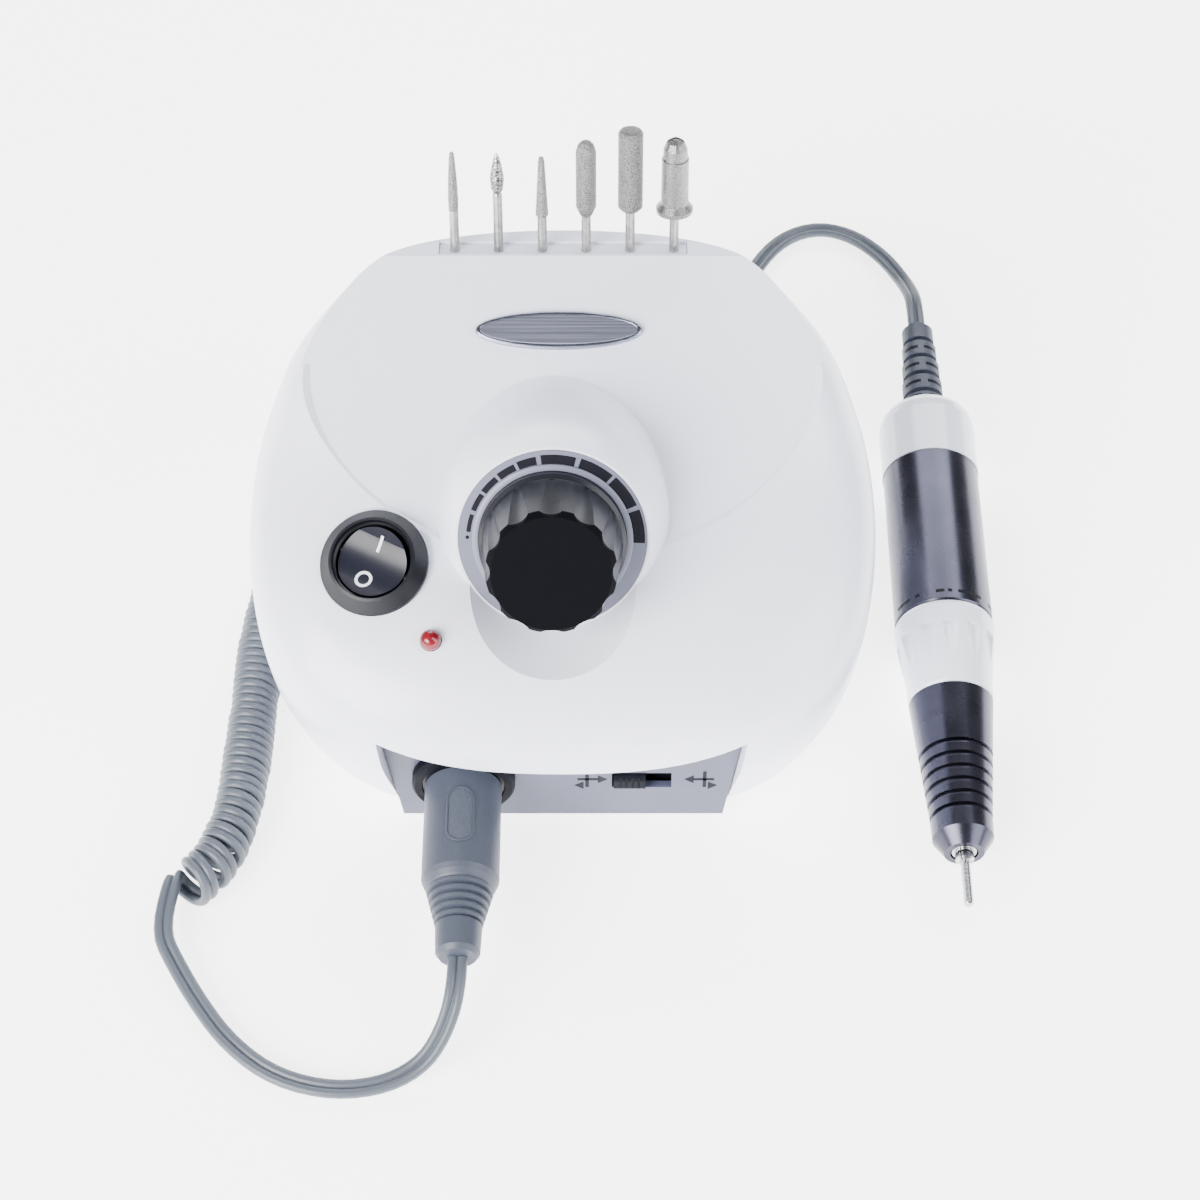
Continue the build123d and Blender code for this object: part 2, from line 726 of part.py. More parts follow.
with BuildPart() as standoffs:
    with Locations(*[at(x, y, 9.0) for x, y in board_corners]):
        Cylinder(2.6, 7)
    standoffs.part.label = "board_standoffs"
export_step(standoffs.part, "parts/board_standoffs.step")

with BuildPart() as circuit_board:
    with Locations(at(-29, 60, 13.35)):
        Box(46, 42, 1.6)
    circuit_board.part.label = "circuit_board"
export_step(circuit_board.part, "parts/circuit_board.step")

with BuildPart() as capacitor:
    with Locations(at(-41, 68, 27.2)):
        Cylinder(8, 26)
    capacitor.part.label = "smoothing_capacitor"
export_step(capacitor.part, "parts/smoothing_capacitor.step")

with BuildPart() as heat_sink:
    with Locations(at(-18, 71, 24.2)):
        Box(26, 2, 20)
    with Locations(at(-18, 74.9, 24.2)):
        with GridLocations(5, 1, 6, 1):
            Box(1, 6, 20)
    heat_sink.part.label = "heat_sink"
export_step(heat_sink.part, "parts/heat_sink.step")

with BuildPart() as transistor:
    with Locations(at(-18, 67.6, 26.2)):
        Box(10, 4.6, 15)
    with Locations(at(-18, 67.6, 16.45)):
        with GridLocations(2.54, 1, 3, 1):
            Box(0.8, 0.6, 4.4)
    transistor.part.label = "power_transistor"
export_step(transistor.part, "parts/power_transistor.step")

# ---------------------------------------------------------------- rear fittings

pedal_plane = Plane(origin=at(pedal_x, rear_y, rear_z), z_dir=(0, 1, 0))
inlet_plane = Plane(origin=at(0, rear_y, rear_z), z_dir=(0, 1, 0))
fuse_plane = Plane(origin=at(fuse_x, rear_y, rear_z), z_dir=(0, 1, 0))

with BuildPart() as pedal_jack:
    pedal_outline = (
        (pedal_bore, -20.0),
        (3.55, -20.0),
        (3.55, 0.05),
        (6.2, 0.05),
        (6.2, 2.2),
        (pedal_bore, 2.2),
    )
    revolve(turned(pedal_outline, pedal_plane), axis=spin_axis(pedal_plane))
    with Locations(pedal_plane.offset(-21)):
        Cylinder(6.0, 2)
    pedal_jack.part.label = "pedal_jack"
export_step(pedal_jack.part, "parts/pedal_jack.step")

with BuildPart() as mains_gland:
    gland_outline = ((3.0, -14.0), (6.0, -14.0), (6.0, 0.05), (8.2, 0.05), (7.6, 2.8), (3.0, 2.8))
    revolve(turned(gland_outline, inlet_plane), axis=spin_axis(inlet_plane))
    mains_gland.part.label = "mains_gland"
export_step(mains_gland.part, "parts/mains_gland.step")

with BuildPart() as fuse_holder:
    fuse_outline = ((0, -26.0), (5.0, -26.0), (5.0, 0.05), (6.8, 0.05), (6.6, 3.4), (0, 3.4))
    revolve(turned(fuse_outline, fuse_plane), axis=spin_axis(fuse_plane))
    with Locations(fuse_plane.offset(3.2)):
        Box(8, 1.2, 1.2, mode=Mode.SUBTRACT)
    fuse_holder.part.label = "fuse_holder"
export_step(fuse_holder.part, "parts/fuse_holder.step")

# ---------------------------------------------------------------- handpiece

with BuildPart() as rear_cap:
    cap_outline = [
        (cap_y + 0.1, 11.3),
        (cap_y + 0.1, 12.75),
        (flange_y - 6.0, 12.75),
        (flange_y - 3.6, 12.3),
        (flange_y - 1.6, 11.2),
        (flange_y - 0.4, 9.6),
        (flange_y, 8.9),
        (flange_y + 0.7, 8.7),
        (relief_y, 7.0),
        (relief_y, 0),
        (flange_y - 3.0, 0),
        (flange_y - 3.0, 8.5),
        (flange_y - 6.0, 11.3),
    ]
    revolve(half_section(cap_outline), axis=hand_axis)
    rear_cap.part.label = "rear_cap"
export_step(rear_cap.part, "parts/rear_cap.step")

with BuildPart() as strain_relief:
    block_end = relief_y + relief_base - relief_gap
    relief_outline = [(relief_y, 0), (relief_y, relief_base_radius), (block_end, relief_base_radius)]
    relief_outline += [(block_end, relief_neck_radius)]
    for index, radius in enumerate(relief_radii):
        start = relief_y + relief_base + relief_pitch * index
        relief_outline += [
            (start, relief_neck_radius),
            (start, radius),
            (start + relief_pitch - relief_gap, radius),
            (start + relief_pitch - relief_gap, relief_neck_radius),
        ]
    relief_outline += [(tail_y, relief_neck_radius), (tail_y, 0)]
    revolve(half_section(relief_outline), axis=hand_axis)
    strain_relief.part.label = "strain_relief"
export_step(strain_relief.part, "parts/strain_relief.step")

with BuildPart() as sleeve:
    sleeve_outline = (
        (sleeve_y + face_gap, 8.5),
        (sleeve_y + face_gap, 12.2),
        (sleeve_y + 0.6, 12.5),
        (cap_y, 12.5),
        (cap_y, 11.2),
        (sleeve_y + 2.4, 11.2),
        (sleeve_y + 2.4, 8.5),
    )
    revolve(half_section(sleeve_outline), axis=hand_axis)
    sleeve.part.label = "motor_sleeve"
export_step(sleeve.part, "parts/motor_sleeve.step")

with BuildPart() as lock_grip:
    grip_bore = 8.5 + running_gap
    grip_outline = (
        (grip_y + face_gap, grip_bore),
        (grip_y + face_gap, 10.2),
        (grip_y + 0.8, 10.7),
        (grip_y + 6.0, 10.9),
        (grip_y + 19.0, 12.5),
        (sleeve_y - 1.2, 12.8),
        (sleeve_y - face_gap, 12.4),
        (sleeve_y - face_gap, grip_bore),
    )
    revolve(half_section(grip_outline), axis=hand_axis)
    with Locations(Plane(origin=at(hand_x, grip_y + 9.5, hand_z), x_dir=(1, 0, 0), z_dir=(0, 1, 0))):
        with PolarLocations(14.1, 12):
            Cylinder(2.9, 17, mode=Mode.SUBTRACT)
    lock_grip.part.label = "lock_grip"
export_step(lock_grip.part, "parts/lock_grip.step")

with BuildPart() as nose_cone:
    groove_pitch = 3.55
    groove_start = nose_y + 8.7
    nose_outline = [(nose_y, 3.4), (nose_y, 4.9), (nose_y + 4.0, 7.5), (groove_start, 7.65)]
    for index in range(6):
        start = groove_start + groove_pitch * index
        crest = 7.7 + 0.3 * index
        nose_outline += [
            (start + 0.1, crest - 0.75),
            (start + 1.1, crest - 0.75),
            (start + 1.35, crest),
            (start + groove_pitch, crest + 0.2),
        ]
    nose_outline += [
        (grip_y, 10.6),
        (grip_y, 8.5),
        (grip_y - 12.5, 8.5),
        (grip_y - 12.5, 5.0),
        (nose_y + 4.6, 5.0),
        (nose_y + 4.6, 3.4),
    ]
    revolve(half_section(nose_outline), axis=hand_axis)
    nose_cone.part.label = "nose_cone"
export_step(nose_cone.part, "parts/nose_cone.step")

with BuildPart() as inner_barrel:
    revolve(
        half_section(((grip_y - 12.4, 7.0), (grip_y - 12.4, 8.5), (60, 8.5), (60, 7.0))),
        axis=hand_axis,
    )
    inner_barrel.part.label = "inner_barrel"
export_step(inner_barrel.part, "parts/inner_barrel.step")

with BuildPart() as front_bearing:
    revolve(
        half_section(((-12.9, 3.03), (-12.9, 4.98), (-8.9, 4.98), (-8.9, 3.03))),
        axis=hand_axis,
    )
    front_bearing.part.label = "front_bearing"
export_step(front_bearing.part, "parts/front_bearing.step")

with BuildPart() as rear_bearing:
    revolve(half_section(((38, 3.03), (38, 6.98), (42, 6.98), (42, 3.03))), axis=hand_axis)
    rear_bearing.part.label = "rear_bearing"
export_step(rear_bearing.part, "parts/rear_bearing.step")

with BuildPart() as spindle:
    spindle_outline = [(-17.3, 2.35), (-17.3, 3.0), (48, 3.0), (48, 0)]
    spindle_outline += [(14, 0), (14, 1.25), (0, 1.25), (0, 2.35)]
    revolve(half_section(spindle_outline), axis=hand_axis)
    spindle.part.label = "spindle"
export_step(spindle.part, "parts/spindle.step")

with BuildPart() as collet:
    collet_outline = ((collet_y, 1.2), (collet_y, 1.8), (collet_y + 0.5, 2.3), (-1, 2.3), (-1, 1.2))
    revolve(half_section(collet_outline), axis=hand_axis)
    with Locations(Plane(origin=at(hand_x, collet_y + 6, hand_z), x_dir=(1, 0, 0), z_dir=(0, 1, 0))):
        with PolarLocations(2.0, 3):
            Box(2.2, 0.35, 13, mode=Mode.SUBTRACT)
    collet.part.label = "collet"
export_step(collet.part, "parts/collet.step")

with BuildPart() as collet_spring:
    with BuildLine() as spring_route:
        Helix(pitch=2.2, height=17.6, radius=4.0, center=at(hand_x, -7, hand_z), direction=(0, 1, 0))
    with BuildSketch(Plane(origin=spring_route.line @ 0, z_dir=spring_route.line % 0)):
        Circle(0.45)
    sweep(path=spring_route.line, is_frenet=True)
    collet_spring.part.label = "collet_spring"
export_step(collet_spring.part, "parts/collet_spring.step")

with BuildPart() as chuck_pin:
    with Locations(Plane(origin=at(hand_x, (tip_y + 12) / 2, hand_z), z_dir=(0, 1, 0))):
        Cylinder(bit_shank_radius, 12 - tip_y)
    chamfer(chuck_pin.edges().group_by(Axis.Y)[0], length=0.3)
    chuck_pin.part.label = "chuck_pin"
export_step(chuck_pin.part, "parts/chuck_pin.step")

with BuildPart() as shaft_coupling:
    coupling_outline = ((46, 3.02), (46, 5.2), (57, 5.2), (57, 1.52), (48.2, 1.52), (48.2, 3.02))
    revolve(half_section(coupling_outline), axis=hand_axis)
    shaft_coupling.part.label = "shaft_coupling"
export_step(shaft_coupling.part, "parts/shaft_coupling.step")

with BuildPart() as rotor:
    rotor_outline = [(49, 0), (49, 1.5), (64, 1.5), (64, 7.6), (86, 7.6)]
    rotor_outline += [(86, 3.4), (91, 3.4), (91, 1.5), (94, 1.5), (94, 0)]
    revolve(half_section(rotor_outline), axis=hand_axis)
    with Locations(Plane(origin=at(hand_x, 75, hand_z), x_dir=(1, 0, 0), z_dir=(0, 1, 0))):
        with PolarLocations(6.6, 5):
            Box(3.0, 1.2, 24, mode=Mode.SUBTRACT)
    rotor.part.label = "motor_rotor"
export_step(rotor.part, "parts/motor_rotor.step")

with BuildPart() as motor_magnets:
    revolve(half_section(((64, 8.3), (64, 10.0), (86, 10.0), (86, 8.3))), axis=hand_axis)
    with Locations(at(hand_x, 75, hand_z)):
        Box(30, 24, 3, mode=Mode.SUBTRACT)
    motor_magnets.part.label = "motor_magnets"
export_step(motor_magnets.part, "parts/motor_magnets.step")

with BuildPart() as motor_can:
    can_outline = ((60.4, 1.8), (60.4, 11.0), (95, 11.0), (95, 10.1), (61.6, 10.1), (61.6, 1.8))
    revolve(half_section(can_outline), axis=hand_axis)
    motor_can.part.label = "motor_can"
export_step(motor_can.part, "parts/motor_can.step")

with BuildPart() as brush_cap:
    brush_outline = ((95.1, 0), (95.1, 11.0), (97.6, 11.0), (97.6, 0))
    revolve(half_section(brush_outline), axis=hand_axis)
    with Locations(at(hand_x, 92, hand_z + 5.8), at(hand_x, 92, hand_z - 5.8)):
        Box(3, 6, 3.4)
    brush_cap.part.label = "brush_cap"
export_step(brush_cap.part, "parts/brush_cap.step")

# ---------------------------------------------------------------- cord

plug_lead_route = (
    (jack_place[0], plug_end, jack_place[1]),
    (jack_place[0], -58.0, jack_place[1] - 0.6),
    (-26.8, -65.0, 12.0),
    (-32.0, -70.6, 5.4),
    (-41.5, -74.8, 2.9),
    (-54.0, -76.0, 2.9),
    (-67.5, -72.0, 2.9),
    (-78.5, -63.0, 2.9),
    (-86.5, -52.0, 2.9),
    (-92.3, -42.5, 3.8),
    (-96.4, -35.0, 5.6),
    (-96.7, -29.2, 6.4),
    (-92.9, -25.0, 6.4),
)
coil_route = (
    (-92.9, -25.0, 6.4),
    (-87.0, -20.0, 6.4),
    (-82.6, -12.0, 6.4),
    (-80.0, -1.0, 6.4),
    (-79.2, 10.0, 6.4),
    (-78.7, 21.0, 6.4),
    (-78.3, 33.0, 6.4),
    (-78.0, 45.0, 6.4),
    (-77.3, 56.0, 6.4),
    (-75.4, 68.0, 6.4),
    (-72.8, 80.0, 6.4),
    (-68.0, 94.0, 6.4),
    (-60.5, 109.0, 6.4),
    (-49.0, 124.0, 6.4),
    (-32.0, 134.5, 6.4),
    (-12.0, 137.5, 6.4),
    (8.0, 135.5, 6.4),
)
hand_lead_route = (
    (8.0, 135.5, 6.4),
    (18.4, 134.46, 6.4),
    (30.0, 137.5, 3.4),
    (40.0, 149.0, 2.9),
    (45.2, 166.0, 2.9),
    (52.0, 183.0, 2.9),
    (60.5, 196.5, 2.9),
    (71.5, 202.0, 2.9),
    (82.0, 199.0, 2.9),
    (90.5, 190.5, 2.9),
    (95.0, 180.0, 4.8),
    (96.8, 170.0, 9.4),
    (hand_x, 161.8, hand_z),
    (hand_x, tail_y, hand_z),
)

with BuildPart() as cord_plug_lead:
    add(tube(plug_lead_route, cord_radius, "cord_plug_lead"))
    cord_plug_lead.part.label = "cord_plug_lead"
export_step(cord_plug_lead.part, "parts/cord_plug_lead.step")

with BuildPart() as cord_coil:
    add(tube(coil_route, coil_radius, "cord_coil"))
    cord_coil.part.label = "cord_coil"
export_step(cord_coil.part, "parts/cord_coil.step")

with BuildPart() as cord_hand_lead:
    add(tube(hand_lead_route, cord_radius, "cord_hand_lead"))
    cord_hand_lead.part.label = "cord_hand_lead"
export_step(cord_hand_lead.part, "parts/cord_hand_lead.step")
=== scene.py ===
"""Looks of the electric nail drill: materials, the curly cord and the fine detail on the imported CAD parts."""

import math

import bmesh
import bpy
from mathutils import Matrix, Vector


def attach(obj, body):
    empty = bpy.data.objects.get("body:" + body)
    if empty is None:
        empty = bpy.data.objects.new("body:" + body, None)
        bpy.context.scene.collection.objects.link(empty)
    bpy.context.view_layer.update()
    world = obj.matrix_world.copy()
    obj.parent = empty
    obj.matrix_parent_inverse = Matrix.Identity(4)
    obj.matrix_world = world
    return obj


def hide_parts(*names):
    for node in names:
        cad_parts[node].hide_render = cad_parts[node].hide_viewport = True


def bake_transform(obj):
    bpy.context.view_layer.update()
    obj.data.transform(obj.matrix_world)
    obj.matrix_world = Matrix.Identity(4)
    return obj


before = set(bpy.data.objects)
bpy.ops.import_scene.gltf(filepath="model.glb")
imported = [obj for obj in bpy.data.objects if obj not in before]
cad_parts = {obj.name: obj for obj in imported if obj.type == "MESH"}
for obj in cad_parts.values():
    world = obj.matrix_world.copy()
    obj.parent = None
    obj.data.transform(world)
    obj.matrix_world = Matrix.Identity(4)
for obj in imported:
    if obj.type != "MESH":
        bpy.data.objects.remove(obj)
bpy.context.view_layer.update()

MM = 0.001

# ---------------------------------------------------------------- places, in millimetres

# The box's own frame: X across, Y from the front panel to the back, Z up.  at() moves it to the row frame.
SHIFT = Vector((-16.7, -60.6, 0.0))


def at(x, y, z):
    """Place in the row frame, in metres."""
    return (Vector((x, y, z)) + SHIFT) * MM


class Seat:
    """A flat seat on the object: its origin, its X and Y directions and its outward normal."""

    def __init__(self, origin, across, normal, turn=0.0):
        self.origin = at(*origin)
        self.z = Vector(normal).normalized()
        flat = Vector(across) - Vector(across).dot(self.z) * self.z
        self.x = Matrix.Rotation(math.radians(turn), 3, self.z) @ flat.normalized()
        self.y = self.z.cross(self.x)

    def point(self, x, y, z=0.0):
        """Point on the seat given in millimetres."""
        return self.origin + (self.x * x + self.y * y + self.z * z) * MM

    def tilted(self, angle):
        """The same seat turned about its X direction."""
        other = Seat((0, 0, 0), self.x, self.z)
        other.origin = self.origin
        turn = Matrix.Rotation(math.radians(angle), 3, self.x)
        other.x = self.x
        other.z = turn @ self.z
        other.y = turn @ self.y
        return other


DIAL_RISE = math.radians(30.0)
dial = Seat((-2.0, 31.0, 73.6), (1, 0, 0), (0, -math.cos(DIAL_RISE), math.sin(DIAL_RISE)))
SWITCH_NORMAL = (-0.12, -0.36, 0.925)
switch_across = (1, 0, -SWITCH_NORMAL[0] / SWITCH_NORMAL[2])
switch = Seat((-44.3, 30.9, 64.3), switch_across, SWITCH_NORMAL, turn=-29.0)
rocker = switch.tilted(6.0)
panel = Seat((0, 0, 0), (1, 0, 0), (0, -1, 0))
plug_top = Seat((-24.0, 0.0, 19.6), (1, 0, 0), (0, 0, 1))
RACK_LEAN = math.radians(14.0)
rack = Seat((0, 110.15, 88.6), (1, 0, 0), (0, math.sin(RACK_LEAN), math.cos(RACK_LEAN)))
DECK_SLOPE = math.radians(19.0)
deck = Seat((0, 107, 90), (1, 0, 0), (0, -math.sin(DECK_SLOPE), math.cos(DECK_SLOPE)))
HAND_X = 97.0
HAND_Z = 12.8
TAIL_Y = 153.2
PLUG_END_Y = -50.3

# ---------------------------------------------------------------- materials


def node_material(name):
    """Empty material, its tree, its shader and object coordinates."""
    material = bpy.data.materials.new(name)
    material.use_nodes = True
    tree = material.node_tree
    shader = tree.nodes["Principled BSDF"]
    coordinates = tree.nodes.new("ShaderNodeTexCoord")
    return material, tree, shader, coordinates.outputs["Object"]


def noise(tree, place, scale, detail=3.0):
    """Noise field in object space."""
    node = tree.nodes.new("ShaderNodeTexNoise")
    node.inputs["Scale"].default_value = scale
    node.inputs["Detail"].default_value = detail
    tree.links.new(place, node.inputs["Vector"])
    return node.outputs["Fac"]


def spread(tree, field, low, high):
    """Field from 0 to 1 mapped to the range low to high."""
    node = tree.nodes.new("ShaderNodeMapRange")
    node.inputs["From Min"].default_value = 0.3
    node.inputs["From Max"].default_value = 0.7
    node.inputs["To Min"].default_value = low
    node.inputs["To Max"].default_value = high
    tree.links.new(field, node.inputs["Value"])
    return node.outputs["Result"]


def two_tones(tree, field, dark, light):
    """Colour between two tones, by a field."""
    node = tree.nodes.new("ShaderNodeMix")
    node.data_type = "RGBA"
    node.inputs["A"].default_value = (*dark, 1.0)
    node.inputs["B"].default_value = (*light, 1.0)
    tree.links.new(field, node.inputs["Factor"])
    return node.outputs["Result"]


def bump(tree, shader, field, strength, distance):
    """Surface relief from a field."""
    node = tree.nodes.new("ShaderNodeBump")
    node.inputs["Strength"].default_value = strength
    node.inputs["Distance"].default_value = distance
    tree.links.new(field, node.inputs["Height"])
    tree.links.new(node.outputs["Normal"], shader.inputs["Normal"])


def moulded(name, color, roughness, grain=2200.0, relief=0.06, coat=0.0, tone=0.035, metallic=0.0, gloss=0.5):
    """Moulded plastic, rubber or paint: a fine grain, uneven gloss and a slight drift of colour."""
    material, tree, shader, place = node_material(name)
    drift = noise(tree, place, 14.0, 2.0)
    darker = tuple(value * (1.0 - tone) for value in color)
    lighter = tuple(min(1.0, value * (1.0 + tone)) for value in color)
    tint = two_tones(tree, spread(tree, drift, 0.0, 1.0), darker, lighter)
    tree.links.new(tint, shader.inputs["Base Color"])
    smudge = noise(tree, place, 90.0, 5.0)
    tree.links.new(spread(tree, smudge, roughness * 0.86, roughness * 1.16), shader.inputs["Roughness"])
    shader.inputs["Metallic"].default_value = metallic
    shader.inputs["Specular IOR Level"].default_value = gloss
    shader.inputs["Coat Weight"].default_value = coat
    shader.inputs["Coat Roughness"].default_value = 0.12
    bump(tree, shader, noise(tree, place, grain, 2.0), relief, 0.0002)
    return material


def machined(name, color, roughness, axis, lines=2600.0, relief=0.12, metallic=1.0):
    """Turned or brushed metal with fine lines across an axis."""
    material, tree, shader, place = node_material(name)
    stretch = tree.nodes.new("ShaderNodeMapping")
    scale = [24.0, 24.0, 24.0]
    scale["XYZ".index(axis)] = lines
    stretch.inputs["Scale"].default_value = scale
    tree.links.new(place, stretch.inputs["Vector"])
    streaks = noise(tree, stretch.outputs["Vector"], 1.0, 2.0)
    darker = tuple(value * 0.88 for value in color)
    lighter = tuple(min(1.0, value * 1.08) for value in color)
    tint = two_tones(tree, spread(tree, streaks, 0.0, 1.0), darker, lighter)
    tree.links.new(tint, shader.inputs["Base Color"])
    tree.links.new(spread(tree, streaks, roughness * 0.8, roughness * 1.25), shader.inputs["Roughness"])
    shader.inputs["Metallic"].default_value = metallic
    bump(tree, shader, streaks, relief, 0.00003)
    return material


white_shell = moulded("white_shell", (0.77, 0.785, 0.875), 0.33, relief=0.03, coat=0.2, tone=0.008)
white_gloss = moulded("white_gloss", (0.77, 0.785, 0.85), 0.22, relief=0.02, coat=0.4, tone=0.008)
panel_grey = moulded("panel_grey", (0.062, 0.067, 0.108), 0.42, grain=3000.0, relief=0.12)
dial_grey = moulded("dial_grey", (0.14, 0.147, 0.2), 0.38, grain=3000.0, relief=0.08)
rack_grey = moulded("rack_grey", (0.62, 0.635, 0.7), 0.4, relief=0.08)
black_satin = moulded("black_satin", (0.006, 0.0065, 0.01), 0.4, relief=0.10, gloss=0.3)
rocker_black = moulded("rocker_black", (0.009, 0.0095, 0.017), 0.34, relief=0.05, gloss=0.3)
rubber_black = moulded("rubber_black", (0.02, 0.02, 0.022), 0.7, relief=0.2)
cord_grey = moulded("cord_grey", (0.075, 0.088, 0.108), 0.4, grain=1400.0, relief=0.05, gloss=0.45)
plug_grey = moulded("plug_grey", (0.045, 0.053, 0.074), 0.48, grain=2600.0, relief=0.16, gloss=0.4)
pad_grey = moulded("pad_grey", (0.058, 0.067, 0.09), 0.55, grain=1900.0, relief=0.9, gloss=0.4)
# Near-black for printed marks. The same material also paints the shade inside the strain relief's slots.
mark_and_shade_black = moulded("mark_and_shade_black", (0.004, 0.004, 0.008), 0.55, gloss=0.15)
fitting_black = moulded("fitting_black", (0.0025, 0.003, 0.006), 0.6, relief=0.05, gloss=0.08)
mark_white = moulded("mark_white", (0.8, 0.8, 0.84), 0.5)
gunmetal = moulded(
    "gunmetal", (0.055, 0.055, 0.074), 0.27, grain=2600.0, relief=0.012, tone=0.02, metallic=1.0
)
badge_metal = machined("badge_metal", (0.36, 0.375, 0.47), 0.38, "Y", relief=0.03)
badge_rim = machined("badge_rim", (0.2, 0.21, 0.26), 0.25, "Y", relief=0.04)
steel_along_y = machined("steel_along_y", (0.5, 0.5, 0.51), 0.24, "Y")
zinc = machined("zinc", (0.45, 0.46, 0.48), 0.4, "Z")
copper = machined("copper", (0.62, 0.27, 0.11), 0.32, "Z", lines=1800.0, relief=0.5)
lamination = machined("lamination", (0.3, 0.3, 0.32), 0.45, "Y", lines=2200.0, relief=0.6)
board_green = moulded("board_green", (0.02, 0.17, 0.06), 0.35, grain=500.0, relief=0.3)
ferrite = moulded("ferrite", (0.05, 0.05, 0.055), 0.7, relief=0.3)
aluminium = machined("aluminium", (0.7, 0.7, 0.72), 0.34, "Z")


def bit_finish(name, head_start, head_color, head_roughness, grain, relief, metallic):
    """Steel shank with a gritty or cut head that starts at a height above the rack."""
    material, tree, shader, place = node_material(name)
    height = tree.nodes.new("ShaderNodeVectorMath")
    height.operation = "DOT_PRODUCT"
    height.inputs[1].default_value = rack.z
    tree.links.new(place, height.inputs[0])
    is_head = tree.nodes.new("ShaderNodeMath")
    is_head.operation = "GREATER_THAN"
    is_head.inputs[1].default_value = rack.origin.dot(rack.z) + head_start * MM
    tree.links.new(height.outputs["Value"], is_head.inputs[0])
    head = is_head.outputs["Value"]
    cells = tree.nodes.new("ShaderNodeTexVoronoi")
    cells.inputs["Scale"].default_value = grain
    tree.links.new(place, cells.inputs["Vector"])
    grains = spread(tree, cells.outputs["Distance"], 0.0, 1.0)
    darker = tuple(value * 0.35 for value in head_color)
    lines = noise(tree, place, 700.0, 2.0)
    shank = two_tones(tree, spread(tree, lines, 0.0, 1.0), (0.3, 0.29, 0.28), (0.46, 0.45, 0.44))
    both = tree.nodes.new("ShaderNodeMix")
    both.data_type = "RGBA"
    tree.links.new(head, both.inputs["Factor"])
    tree.links.new(shank, both.inputs["A"])
    tree.links.new(two_tones(tree, grains, head_color, darker), both.inputs["B"])
    tree.links.new(both.outputs["Result"], shader.inputs["Base Color"])
    rough = tree.nodes.new("ShaderNodeMapRange")
    rough.inputs["To Min"].default_value = 0.3
    rough.inputs["To Max"].default_value = head_roughness
    tree.links.new(head, rough.inputs["Value"])
    tree.links.new(rough.outputs["Result"], shader.inputs["Roughness"])
    shader.inputs["Metallic"].default_value = metallic
    field = tree.nodes.new("ShaderNodeMath")
    field.operation = "MULTIPLY"
    tree.links.new(head, field.inputs[0])
    tree.links.new(cells.outputs["Distance"], field.inputs[1])
    bump(tree, shader, field.outputs["Value"], relief, 0.0003)
    return material


def knob_finish(name, face_start):
    """Satin black grip with a darker, matt face above a height on the dial's axis."""
    material, tree, shader, place = node_material(name)
    height = tree.nodes.new("ShaderNodeVectorMath")
    height.operation = "DOT_PRODUCT"
    height.inputs[1].default_value = dial.z
    tree.links.new(place, height.inputs[0])
    is_face = tree.nodes.new("ShaderNodeMath")
    is_face.operation = "GREATER_THAN"
    is_face.inputs[1].default_value = dial.origin.dot(dial.z) + face_start * MM
    tree.links.new(height.outputs["Value"], is_face.inputs[0])
    face = is_face.outputs["Value"]
    tint = two_tones(tree, face, (0.006, 0.0065, 0.01), (0.0012, 0.0014, 0.0025))
    tree.links.new(tint, shader.inputs["Base Color"])
    for socket, grip_value, face_value in (("Roughness", 0.33, 0.6), ("Specular IOR Level", 0.38, 0.04)):
        ramp = tree.nodes.new("ShaderNodeMapRange")
        ramp.inputs["To Min"].default_value = grip_value
        ramp.inputs["To Max"].default_value = face_value
        tree.links.new(face, ramp.inputs["Value"])
        tree.links.new(ramp.outputs["Result"], shader.inputs[socket])
    bump(tree, shader, noise(tree, place, 2400.0, 2.0), 0.04, 0.0002)
    return material


lamp_red, lamp_tree, lamp_shader, lamp_place = node_material("lamp_red")
lamp_tint = spread(lamp_tree, noise(lamp_tree, lamp_place, 260.0), 0.0, 1.0)
lamp_color = two_tones(lamp_tree, lamp_tint, (0.1, 0.002, 0.006), (0.2, 0.004, 0.012))
lamp_tree.links.new(lamp_color, lamp_shader.inputs["Base Color"])
lamp_shader.inputs["Roughness"].default_value = 0.2
lamp_shader.inputs["Coat Weight"].default_value = 0.15
lamp_shader.inputs["Subsurface Weight"].default_value = 0.15

